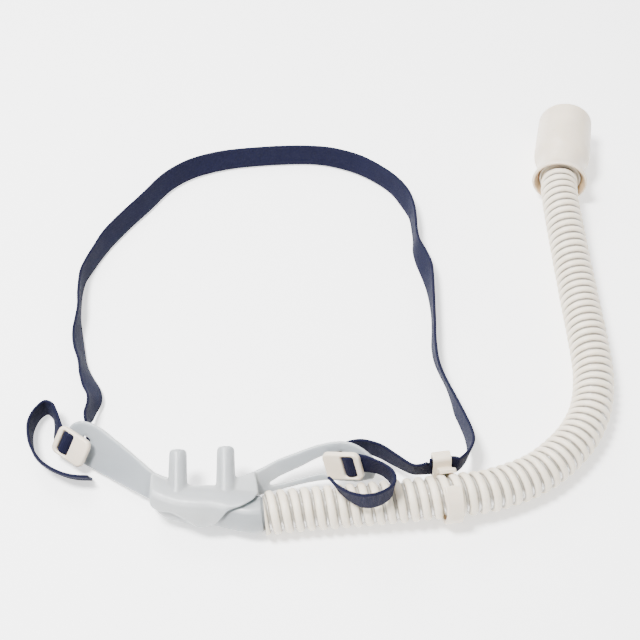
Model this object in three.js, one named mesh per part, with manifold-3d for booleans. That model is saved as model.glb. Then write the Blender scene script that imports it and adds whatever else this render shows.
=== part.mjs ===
// Nasal oxygen cannula with corrugated hose, head strap and swivel connector.
// Millimetres, +Z up. The object lies unheld on a level floor, at Z = 0.
// The prongs point along +Y, the hose leaves toward +X.

import * as THREE from 'three';
import { mergeVertices } from 'three/addons/utils/BufferGeometryUtils.js';
import Module from 'manifold-3d';

const wasm = await Module();
wasm.setup();

// Driving dimensions
const CLEARANCE = 0.3;

const HOSE_OUTER = 17.0;
const HOSE_BORE = 13.2;
const HOSE_STEPS = 60;
const HOSE_SIDES = 12;

const MANIFOLD_OUTER = 14.0;
const MANIFOLD_TAPER = 0.86;
const MANIFOLD_WALL = 1.4;
const SPIGOT_OUTER = 12.0;
const SPIGOT_LENGTH = 9.0;

const SADDLE_WALL = 1.9;
const SADDLE_TILT = 29.1;
const SADDLE_SHEAR = 0.1;
const SADDLE_HEM = 3.0;
const WEB_THICKNESS = 2.0;

const PRONG_LENGTH = 22.8;
const PRONG_BASE_OUTER = 8.0;
const PRONG_TIP_OUTER = 6.9;
const PRONG_TIP_ROUND = 1.2;
const PRONG_BORE = 4.6;
const PRONG_RISE = 20.0;
const PRONG_LEAN = 2.0;
const PRONG_BASES = [[-27.3, -93.2, 11.0], [-8.9, -91.8, 11.0]];

const ARM_THICKNESS = 2.0;
const BUCKLE_OVER_ARM = 4.5;
const SLOT_REACH = 8.0;
const SLOT_WIDTH = 3.6;
const LEFT_SLOT = -2.4;

const STRAP_WIDTH = 10.0;
const STRAP_THICKNESS = 1.1;
const STRAP_GATHERED = 8.2;
const STRAP_STEPS = 260;

const BUCKLE_LENGTH = 15.8;
const BUCKLE_RAIL = 1.4;
const BUCKLE_THICKNESS = 2.5;
const BUCKLE_CORNER = 2.6;
const BUCKLE_BEVEL = 0.5;
const WINDOW_INNER = 0.1;
const WINDOW_OUTER = 5.5;
const WINDOW_HEIGHT = STRAP_GATHERED + 0.8;
const WINDOW_CORNER = 0.9;
const BUCKLE_HEIGHT = WINDOW_HEIGHT + 2 * BUCKLE_RAIL;
const BAR_WIDTH = 0.8;
const BAR_CENTRE = (WINDOW_INNER + WINDOW_OUTER) / 2;
const BAR_HEIGHT = 0.8;
const BAR_LIFT = 0.1;

const CLIP_WALL = 1.7;
const CLIP_WIDTH = 6.5;
const CLIP_OPEN_FROM = -262.0;
const CLIP_OPEN_TO = 48.0;
const CLIP_LOOP_WALL = 1.2;
const LOOP_BACK = 12.0;
const LOOP_RISE = 3.4;
const LOOP_ALONG = -1.4;
const LOOP_LENGTH = 7.2;
const LOOP_LEAN = THREE.MathUtils.degToRad(12);

const CUFF_OUTER = 19.2;
const CUFF_LENGTH = 9.0;
const CUFF_START = 3.0;

const CONNECTOR_LENGTH = 42.8;
const CONNECTOR_AZIMUTH = 78.8;
const SOCKET_BORE = 22.4;
const SOCKET_DEPTH = 19.0;
const CONNECTOR_RADIUS = 13.25;
const CONNECTOR_RIM = 12.65;
const FLARE_RADIUS = 13.0;
const NECK_RADIUS = 10.9;
const HOSE_WAY = 7.4;

// The whole is moved so that the middle of what isn't cord lies over the origin
const FRAME_SHIFT = [1.6, -4.1, 0.0];

// Materials
function plastic(color, roughness) {
  return new THREE.MeshStandardMaterial({ color, roughness, metalness: 0.0 });
}

const SILICONE = 0xd3d6d8;
const CREAM = 0xeee8df;
const RIBBED = 0xf1ede6;
const NAVY = 0x1f2a63;

// Turns a three.js geometry into a solid for cutting and joining
function solid(geometry) {
  const bare = new THREE.BufferGeometry();
  bare.setAttribute('position', geometry.getAttribute('position').clone());
  if (geometry.index) {
    bare.setIndex(geometry.index.clone());
  }
  const merged = mergeVertices(bare, 1e-4);
  const mesh = new wasm.Mesh({
    numProp: 3,
    vertProperties: new Float32Array(merged.getAttribute('position').array),
    triVerts: new Uint32Array(merged.index.array),
  });
  return new wasm.Manifold(mesh);
}

// Turns a solid back into a three.js geometry
function geometryOf(body) {
  const mesh = body.getMesh();
  const geometry = new THREE.BufferGeometry();
  geometry.setAttribute('position', new THREE.BufferAttribute(mesh.vertProperties, 3));
  geometry.setIndex(new THREE.BufferAttribute(mesh.triVerts, 1));
  return geometry;
}

// Moves every vertex of a geometry by a function of its place
function warp(geometry, place) {
  const position = geometry.getAttribute('position');
  const point = new THREE.Vector3();
  for (let i = 0; i < position.count; i += 1) {
    point.fromBufferAttribute(position, i);
    const moved = place(point);
    position.setXYZ(i, moved.x, moved.y, moved.z);
  }
  return geometry;
}

function vector(list) {
  return new THREE.Vector3(list[0], list[1], list[2]);
}

function curveThrough(points) {
  return new THREE.CatmullRomCurve3(points.map(vector), false, 'centripetal');
}

// A round tube along a curve, its radius given at each share of the length
function roundSweep(curve, radiusAt, sides, steps) {
  const up = new THREE.Vector3(0, 0, 1);
  const base = new THREE.CylinderGeometry(1, 1, 1, sides, steps);
  return warp(base, (point) => {
    const share = THREE.MathUtils.clamp(point.y + 0.5, 0, 1);
    const ahead = curve.getTangentAt(share);
    const side = new THREE.Vector3().crossVectors(ahead, up).normalize();
    const top = new THREE.Vector3().crossVectors(side, ahead);
    const radius = radiusAt(share);
    return curve.getPointAt(share)
      .addScaledVector(side, point.x * radius)
      .addScaledVector(top, point.z * radius);
  });
}

// A flat band through stations, each with a middle, a cross direction and a width
function band(stations, thickness, steps) {
  const middle = new THREE.CatmullRomCurve3(
    stations.map((station) => station.middle), false, 'centripetal');
  const cross = new THREE.CatmullRomCurve3(
    stations.map((station) => station.cross.clone().multiplyScalar(100)), false, 'catmullrom');
  const widths = new THREE.CatmullRomCurve3(
    stations.map((station, i) => new THREE.Vector3(i, station.width, 0)), false, 'catmullrom');
  const base = new THREE.BoxGeometry(1, 1, 1, steps, 1, 1);
  return warp(base, (point) => {
    const share = THREE.MathUtils.clamp(point.x + 0.5, 0, 1);
    const ahead = middle.getTangent(share);
    const across = cross.getPoint(share);
    across.addScaledVector(ahead, -across.dot(ahead)).normalize();
    const face = new THREE.Vector3().crossVectors(across, ahead);
    return middle.getPoint(share)
      .addScaledVector(face, point.y * thickness)
      .addScaledVector(across, point.z * widths.getPoint(share).y);
  });
}

// A station from its lower and upper edge points
function edgeStation(lower, upper) {
  const low = vector(lower);
  const high = vector(upper);
  return {
    middle: low.clone().add(high).multiplyScalar(0.5),
    cross: high.clone().sub(low).normalize(),
    width: high.distanceTo(low),
  };
}

// The part of an edge station between two shares of its width
function insetStation(station, from, to) {
  const shift = ((from + to) / 2 - 0.5) * station.width;
  return {
    middle: station.middle.clone().addScaledVector(station.cross, shift),
    cross: station.cross,
    width: (to - from) * station.width,
  };
}

// A station on the floor strap from its middle and the lean of its width direction
function strapStation(x, y, z, leanX, leanY, width = STRAP_WIDTH) {
  const rise = Math.sqrt(Math.max(0, 1 - leanX * leanX - leanY * leanY));
  return {
    middle: new THREE.Vector3(x, y, z),
    cross: new THREE.Vector3(leanX, leanY, rise),
    width,
  };
}

// A buckle's frame: X outward along the tail, up across the plate, Z out of its visible face
function frameOf(origin, outward, upward, hand) {
  const x = vector(outward).normalize();
  const up = vector(upward);
  up.addScaledVector(x, -up.dot(x)).normalize();
  const z = new THREE.Vector3().crossVectors(x, up).multiplyScalar(hand);
  const y = new THREE.Vector3().crossVectors(z, x);
  return { origin: vector(origin), x, y, z, up };
}

function placed(frame, x, y, z) {
  return frame.origin.clone()
    .addScaledVector(frame.x, x)
    .addScaledVector(frame.y, y)
    .addScaledVector(frame.z, z);
}

// Manifold: the hollow elbow that feeds the prongs and holds the hose
const MANIFOLD_MIDDLE = [
  [-35.7, -86.9, 8.2],
  [-31.7, -88.6, 8.0],
  [-23.8, -90.8, 8.0],
  [-13.0, -91.5, 8.0],
  [-5.6, -93.2, 8.1],
  [0.8, -94.5, 8.35],
  [5.0, -94.0, 8.5],
];
const HOSE_AHEAD = new THREE.Vector3(0.992, 0.124, 0);
const SPIGOT_START = vector(MANIFOLD_MIDDLE[MANIFOLD_MIDDLE.length - 1]);

function manifoldRadius(share) {
  return (MANIFOLD_OUTER / 2) * (MANIFOLD_TAPER + (1 - MANIFOLD_TAPER) * share);
}

function manifoldSolid(extra) {
  const rounded = 0.16;
  const curve = curveThrough(MANIFOLD_MIDDLE);
  const radius = (share) => {
    const near = THREE.MathUtils.clamp(share / rounded, 0, 1);
    const end = Math.sqrt(1 - (1 - near) * (1 - near));
    return manifoldRadius(share) * (0.35 + 0.65 * end) + extra;
  };
  return solid(roundSweep(curve, radius, 24, 22));
}

function spigotSolid(radius, back, ahead) {
  const from = SPIGOT_START.clone().addScaledVector(HOSE_AHEAD, -back);
  const to = SPIGOT_START.clone().addScaledVector(HOSE_AHEAD, ahead);
  const middle = new THREE.CatmullRomCurve3([from, to]);
  return solid(roundSweep(middle, () => radius, 24, 1));
}

// Prongs: a hollow tapering tube with a rounded tip, turned on its own axis
function prongProfile() {
  const base = PRONG_BASE_OUTER / 2;
  const tip = PRONG_TIP_OUTER / 2;
  return [
    new THREE.Vector2(0, 0),
    new THREE.Vector2(base, 0),
    new THREE.Vector2(tip, PRONG_LENGTH - PRONG_TIP_ROUND),
    new THREE.Vector2(tip - 0.35 * PRONG_TIP_ROUND, PRONG_LENGTH - 0.3 * PRONG_TIP_ROUND),
    new THREE.Vector2(tip - 0.8 * PRONG_TIP_ROUND, PRONG_LENGTH),
    new THREE.Vector2(0, PRONG_LENGTH),
  ];
}

function turnedProng(profile, base) {
  const body = new THREE.LatheGeometry(profile, 20);
  body.rotateX(THREE.MathUtils.degToRad(PRONG_RISE));
  body.rotateZ(THREE.MathUtils.degToRad(PRONG_LEAN));
  body.translate(base[0], base[1], base[2]);
  return solid(body);
}

function prongBore(base) {
  const deep = PRONG_BORE / 4;
  const beyond = PRONG_LENGTH + PRONG_BORE / 2;
  const profile = [
    new THREE.Vector2(0, -deep),
    new THREE.Vector2(PRONG_BORE / 2, -deep),
    new THREE.Vector2(PRONG_BORE / 2, beyond),
    new THREE.Vector2(0, beyond),
  ];
  return turnedProng(profile, base);
}

// Saddle: the silicone shell over the manifold, trimmed to a lobed outline
// The outline lies in a plane tilted back, U along X and V up that plane
const SADDLE_TOP = 30.0;
const SADDLE_OUTLINE = [
  [-31.4, SADDLE_TOP], [-31.6, 12.0], [-32.1, 11.7], [-33.3, 12.1], [-34.8, 12.6],
  [-36.4, 13.4], [-37.6, 13.8], [-38.3, 12.6], [-38.3, 2.6], [-38.0, 1.5], [-37.4, 0.8],
  [-35.8, -0.2], [-33.5, -0.9], [-30.4, -1.1], [-28.5, -1.9], [-26.6, -3.0],
  [-25.1, -3.9], [-23.5, -4.7], [-22.0, -5.4], [-20.8, -6.4], [-19.0, -6.9],
  [-16.7, -6.5], [-14.4, -6.0], [-13.1, -5.4], [-12.2, -4.3], [-10.7, -2.8],
  [-9.3, -1.1], [-8.2, -0.2], [-6.3, 0.4], [-4.0, 1.1], [-1.8, 2.2], [0.5, 3.5],
  [1.7, 4.6], [2.5, 6.2], [2.8, 8.2], [2.8, SADDLE_TOP],
];
const SADDLE_PLANE = [-92.0, 8.0];

function saddleTrim() {
  const shape = new THREE.Shape(SADDLE_OUTLINE.map(([u, v]) => new THREE.Vector2(u, v)));
  const prism = new THREE.ExtrudeGeometry(shape, { depth: 2 * SADDLE_TOP, bevelEnabled: false });
  prism.translate(0, 0, -2 * SADDLE_TOP / 3);
  prism.applyMatrix4(new THREE.Matrix4().makeShear(0, 0, 0, 0, SADDLE_SHEAR, 0));
  prism.rotateX(THREE.MathUtils.degToRad(SADDLE_TILT));
  prism.translate(0, SADDLE_PLANE[0], SADDLE_PLANE[1]);
  return solid(prism);
}

function saddleShell() {
  const middle = MANIFOLD_MIDDLE.slice(0, -1).map((point) => [...point]);
  middle[0] = [-41.0, -83.6, 8.2];
  middle.push([4.0, -94.1, 8.4]);
  const curve = curveThrough(middle);
  const radius = (share) => manifoldRadius(share) + CLEARANCE + SADDLE_WALL;
  const shell = solid(roundSweep(curve, radius, 24, 22));
  const floor = new THREE.BoxGeometry(4 * SADDLE_TOP, 4 * SADDLE_TOP, SADDLE_TOP);
  floor.translate(0, SADDLE_PLANE[0], SADDLE_HEM - SADDLE_TOP / 2);
  return shell.intersect(saddleTrim()).subtract(solid(floor));
}

// Arms: bands from the saddle to the buckles, each between a lower and an upper edge
const LEFT_ARM = [
  edgeStation([-33.5, -87.6, 5.2], [-33.2, -79.6, 11.4]),
  edgeStation([-39.4, -84.9, 4.0], [-38.2, -77.7, 12.0]),
  edgeStation([-44.6, -81.7, 3.5], [-44.2, -72.8, 12.0]),
  edgeStation([-51.1, -77.6, 3.0], [-50.6, -67.2, 12.2]),
  edgeStation([-57.9, -73.3, 2.5], [-57.2, -61.8, 12.6]),
  edgeStation([-65.2, -69.0, 2.2], [-64.1, -56.4, 13.0]),
  edgeStation([-71.3, -65.2, 2.4], [-69.8, -54.2, 12.6]),
  edgeStation([-74.4, -63.1, 4.8], [-73.2, -56.4, 10.4]),
];
const RIGHT_ARM = [
  edgeStation([-14.0, -88.8, 6.0], [-13.6, -86.2, 11.6]),
  edgeStation([-4.4, -86.0, 5.4], [-4.0, -81.0, 13.0]),
  edgeStation([2.4, -83.8, 4.6], [2.8, -77.6, 12.6]),
  edgeStation([7.2, -82.3, 4.7], [7.6, -75.0, 12.8]),
  edgeStation([12.0, -81.0, 4.9], [12.4, -72.4, 13.2]),
  edgeStation([19.6, -79.0, 5.6], [20.4, -70.0, 14.8]),
  edgeStation([28.8, -78.2, 6.8], [29.6, -67.8, 17.0]),
  edgeStation([36.4, -79.0, 7.4], [36.6, -67.4, 17.8]),
  edgeStation([43.2, -80.0, 8.0], [42.8, -70.6, 17.0]),
  edgeStation([49.4, -79.4, 9.6], [48.6, -75.2, 14.4]),
];

function armSolid(stations) {
  return solid(band(stations, ARM_THICKNESS, 36));
}

// The web from the back of the shell to the top edge of the right arm
const RIGHT_WEB = [
  edgeStation([-14.0, -88.4, 12.6], [-13.4, -84.9, 13.0]),
  edgeStation([-8.4, -88.7, 13.6], [-8.4, -82.7, 13.4]),
  edgeStation([-5.0, -89.2, 14.0], [-5.0, -81.4, 13.5]),
  edgeStation([-0.1, -89.6, 14.3], [-0.1, -79.6, 13.6]),
  edgeStation([2.8, -89.9, 14.4], [2.8, -78.3, 13.6]),
];

function webSolid() {
  return solid(band(RIGHT_WEB, WEB_THICKNESS, 14));
}

// The tapering window of the right arm, from its rounded inner end to the buckle
function rightWindow() {
  const cut = [
    insetStation(RIGHT_ARM[3], 0.24, 0.36),
    insetStation(RIGHT_ARM[4], 0.20, 0.45),
    insetStation(RIGHT_ARM[5], 0.19, 0.53),
    insetStation(RIGHT_ARM[6], 0.22, 0.68),
    insetStation(RIGHT_ARM[7], 0.20, 0.78),
  ];
  const slot = strapSlot(RIGHT_SLOT, -SLOT_WIDTH / 2, SLOT_WIDTH / 2, 0);
  return solid(band(cut, 3 * ARM_THICKNESS, 14)).add(slot);
}

// The way through an arm for the strap, between two places along a frame, below its plane
function strapSlot(frame, from, to, below) {
  const slot = new THREE.BoxGeometry(to - from, STRAP_GATHERED + 6 * CLEARANCE, SLOT_REACH);
  slot.translate((from + to) / 2, 0, -below);
  const basis = new THREE.Matrix4().makeBasis(frame.x, frame.y, frame.z);
  basis.setPosition(frame.origin);
  slot.applyMatrix4(basis);
  return solid(slot);
}

function leftSlot() {
  return strapSlot(LEFT_BUCKLE, LEFT_SLOT - SLOT_WIDTH / 2, LEFT_SLOT + SLOT_WIDTH / 2, BUCKLE_OVER_ARM);
}

function nasalCannula() {
  const skin = MANIFOLD_OUTER / 2 + CLEARANCE;
  let body = saddleShell().add(webSolid());
  for (const base of PRONG_BASES) {
    body = body.add(turnedProng(prongProfile(), base));
  }
  body = body.add(armSolid(LEFT_ARM).subtract(leftSlot()));
  body = body.add(armSolid(RIGHT_ARM).subtract(rightWindow()));
  body = body.subtract(manifoldSolid(CLEARANCE));
  body = body.subtract(spigotSolid(skin, 0.2, 30));
  for (const base of PRONG_BASES) {
    body = body.subtract(prongBore(base));
  }
  return geometryOf(body);
}

function manifoldElbow() {
  let body = manifoldSolid(0);
  body = body.add(spigotSolid(SPIGOT_OUTER / 2, 0.5, SPIGOT_LENGTH));
  const inner = MANIFOLD_MIDDLE.slice(1).map((point) => [...point]);
  const bore = curveThrough(inner);
  const boreRadius = SPIGOT_OUTER / 2 - MANIFOLD_WALL;
  body = body.subtract(solid(roundSweep(bore, () => boreRadius, 16, 14)));
  body = body.subtract(spigotSolid(boreRadius, 0.5, SPIGOT_LENGTH + 2));
  for (const base of PRONG_BASES) {
    body = body.subtract(prongBore(base));
  }
  return geometryOf(body);
}

// Hose: its middle line, hand placed along the floor, over the clip and up to the connector
const CONNECTOR_START = new THREE.Vector3(140.3, 79.7, 13.3);
const CONNECTOR_AHEAD = new THREE.Vector3(
  Math.cos(THREE.MathUtils.degToRad(CONNECTOR_AZIMUTH)),
  Math.sin(THREE.MathUtils.degToRad(CONNECTOR_AZIMUTH)),
  0,
);
const HOSE_INSIDE = 11.0;
const HOSE_MIDDLE = [
  [5.6, -94.0, 8.6],
  [12.0, -93.2, 8.6],
  [19.3, -92.3, 8.6],
  [34.7, -91.2, 9.0],
  [50.0, -90.1, 9.8],
  [65.4, -88.9, 10.6],
  [77.0, -87.7, 11.0],
  [88.8, -85.8, 10.4],
  [96.7, -83.4, 9.6],
  [104.9, -80.0, 9.0],
  [113.3, -75.6, 8.7],
  [121.2, -69.4, 8.6],
  [128.4, -62.0, 8.6],
  [133.9, -54.0, 8.6],
  [137.8, -45.4, 8.6],
  [140.2, -36.0, 8.6],
  [141.4, -26.0, 8.6],
  [141.6, -15.0, 8.6],
  [141.5, -4.0, 8.6],
  [141.2, 8.0, 8.6],
  [140.9, 22.0, 9.0],
  [140.4, 34.0, 9.9],
  [140.0, 46.0, 11.0],
  [139.6, 58.0, 12.2],
  [139.4, 68.0, 13.0],
  [139.8, 77.0, 13.3],
];

function hose() {
  const end = CONNECTOR_START.clone().addScaledVector(CONNECTOR_AHEAD, HOSE_INSIDE);
  const near = CONNECTOR_START.clone().addScaledVector(CONNECTOR_AHEAD, HOSE_INSIDE / 2);
  const points = HOSE_MIDDLE.map(vector).concat([near, end]);
  const path = new THREE.CatmullRomCurve3(points, false, 'centripetal');
  const section = new THREE.Shape();
  section.absarc(0, 0, HOSE_OUTER / 2, 0, 2 * Math.PI, false);
  const hole = new THREE.Path();
  hole.absarc(0, 0, HOSE_BORE / 2, 0, 2 * Math.PI, true);
  section.holes.push(hole);
  return new THREE.ExtrudeGeometry(section, {
    steps: HOSE_STEPS,
    curveSegments: HOSE_SIDES / 2,
    extrudePath: path,
    bevelEnabled: false,
  });
}

// Cuff: the ring fixed round the hose end, on which the connector turns
function hoseCuff() {
  const inner = HOSE_OUTER / 2 + CLEARANCE;
  const outer = CUFF_OUTER / 2;
  const profile = [
    new THREE.Vector2(inner, 0),
    new THREE.Vector2(outer, 0),
    new THREE.Vector2(outer, CUFF_LENGTH),
    new THREE.Vector2(inner, CUFF_LENGTH),
    new THREE.Vector2(inner, 0),
  ];
  return new THREE.LatheGeometry(profile, 36);
}

// Swivel connector: a tapered socket body, a neck and an open flared ring round the hose
function swivelConnector() {
  const socket = SOCKET_BORE / 2;
  const floorAt = CONNECTOR_LENGTH - SOCKET_DEPTH;
  const bearing = CUFF_OUTER / 2 + CLEARANCE;
  const bearingEnd = CUFF_START + CUFF_LENGTH + 2 * CLEARANCE;
  const lip = 1.0;
  const profile = [
    [FLARE_RADIUS - 0.8 * lip, 0.0], [FLARE_RADIUS - 0.1 * lip, 0.5 * lip],
    [FLARE_RADIUS, 1.2 * lip], [FLARE_RADIUS - 0.4 * lip, 2.0 * lip],
    [NECK_RADIUS + 0.7, 3.2], [NECK_RADIUS + 0.05, 5.0], [NECK_RADIUS, 9.0],
    [NECK_RADIUS + 0.2, 11.2], [NECK_RADIUS + 1.0, 13.4], [NECK_RADIUS + 2.0, 15.6],
    [CONNECTOR_RADIUS, 17.4], [CONNECTOR_RADIUS, 20.0],
    [CONNECTOR_RIM + 0.15, CONNECTOR_LENGTH - lip],
    [CONNECTOR_RIM, CONNECTOR_LENGTH - lip / 4],
    [CONNECTOR_RIM - 0.25, CONNECTOR_LENGTH],
    [socket + 0.2, CONNECTOR_LENGTH], [socket, CONNECTOR_LENGTH - 0.3],
    [socket - 0.2, floorAt], [HOSE_WAY, floorAt],
    [HOSE_WAY, bearingEnd], [bearing, bearingEnd],
    [bearing, 3.6], [bearing + 0.7, 2.0], [bearing + 1.4, 0.4],
    [FLARE_RADIUS - 0.8 * lip, 0.0],
  ];
  return new THREE.LatheGeometry(profile.map(([r, z]) => new THREE.Vector2(r, z)), 40);
}

// Buckles: a rounded plate with one window, crossed low down by a bar
function roundedRectangle(path, left, bottom, right, top, corner) {
  path.moveTo(left + corner, bottom);
  path.lineTo(right - corner, bottom);
  path.absarc(right - corner, bottom + corner, corner, -Math.PI / 2, 0, false);
  path.lineTo(right, top - corner);
  path.absarc(right - corner, top - corner, corner, 0, Math.PI / 2, false);
  path.lineTo(left + corner, top);
  path.absarc(left + corner, top - corner, corner, Math.PI / 2, Math.PI, false);
  path.lineTo(left, bottom + corner);
  path.absarc(left + corner, bottom + corner, corner, Math.PI, 1.5 * Math.PI, false);
  return path;
}

function buckle() {
  const halfLength = BUCKLE_LENGTH / 2;
  const halfHeight = BUCKLE_HEIGHT / 2;
  const halfWindow = WINDOW_HEIGHT / 2;
  const shape = roundedRectangle(
    new THREE.Shape(), -halfLength, -halfHeight, halfLength, halfHeight, BUCKLE_CORNER);
  shape.holes.push(roundedRectangle(
    new THREE.Path(), WINDOW_INNER, -halfWindow, WINDOW_OUTER, halfWindow, WINDOW_CORNER));
  const plate = new THREE.ExtrudeGeometry(shape, {
    depth: BUCKLE_THICKNESS - 2 * BUCKLE_BEVEL,
    bevelThickness: BUCKLE_BEVEL,
    bevelSize: BUCKLE_BEVEL,
    bevelOffset: -BUCKLE_BEVEL,
    bevelSegments: 1,
    curveSegments: 4,
  });
  plate.translate(0, 0, BUCKLE_BEVEL - BUCKLE_THICKNESS / 2);
  const bar = new THREE.BoxGeometry(BAR_WIDTH, WINDOW_HEIGHT + BUCKLE_RAIL, BAR_HEIGHT);
  bar.translate(BAR_CENTRE, 0, BAR_LIFT + (BAR_HEIGHT - BUCKLE_THICKNESS) / 2);
  return geometryOf(solid(plate).add(solid(bar)));
}

// The clip's frame: Z along the hose, Y up, X away behind the hose
const CLIP_PLACE = new THREE.Vector3(77.0, -87.7, 11.0);
const CLIP_AHEAD = new THREE.Vector3(0.99, 0.14, 0).normalize();
const CLIP_UP = new THREE.Vector3(0, 0, 1);
const CLIP_BACK = new THREE.Vector3().crossVectors(CLIP_UP, CLIP_AHEAD);

function onLoop(along) {
  const cross = CLIP_UP.clone().multiplyScalar(Math.cos(LOOP_LEAN))
    .addScaledVector(CLIP_BACK, Math.sin(LOOP_LEAN));
  const middle = CLIP_PLACE.clone()
    .addScaledVector(CLIP_BACK, LOOP_BACK)
    .addScaledVector(CLIP_UP, LOOP_RISE)
    .addScaledVector(CLIP_AHEAD, along);
  return { middle, cross, width: STRAP_GATHERED };
}

const CLIP_LOOP_STATIONS = [onLoop(3.4), onLoop(-1.4), onLoop(-6.2)];

const LEFT_BUCKLE = frameOf([-72.0, -64.3, 9.3], [-0.82, 0.57, 0.03], [0.10, 0.73, 0.68], -1);
const RIGHT_BUCKLE = frameOf([35.9, -79.0, 18.7], [0.875, -0.273, 0.399], [-0.249, 0.452, 0.856], 1);
const RIGHT_SLOT = frameOf([30.6, -72.9, 12.3], [1, -0.08, 0.05], [0, 0.75, 0.66], 1);

// Head strap: one length of webbing, from the left tail to the right tail
function onBuckle(frame, x, z, width = STRAP_GATHERED) {
  return { middle: placed(frame, x, 0, z), cross: frame.up.clone(), width };
}

// The strap's way through a buckle: up from under its middle, over the bar and out
const UNDER_PLATE = -(BUCKLE_THICKNESS + STRAP_THICKNESS) / 2 - CLEARANCE;
const BAR_TOP = BAR_LIFT + BAR_HEIGHT - BUCKLE_THICKNESS / 2;
const OVER_BAR = BAR_TOP + STRAP_THICKNESS / 2 + 2 * CLEARANCE;
const THROUGH_BUCKLE = [
  [WINDOW_INNER + 0.1, UNDER_PLATE + 0.2],
  [WINDOW_INNER + 1.3, BAR_TOP],
  [BAR_CENTRE, OVER_BAR],
  [WINDOW_OUTER - 1.3, BAR_TOP],
  [WINDOW_OUTER - 0.1, UNDER_PLATE + 0.2],
  [WINDOW_OUTER + 2.4, UNDER_PLATE],
];

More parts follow.
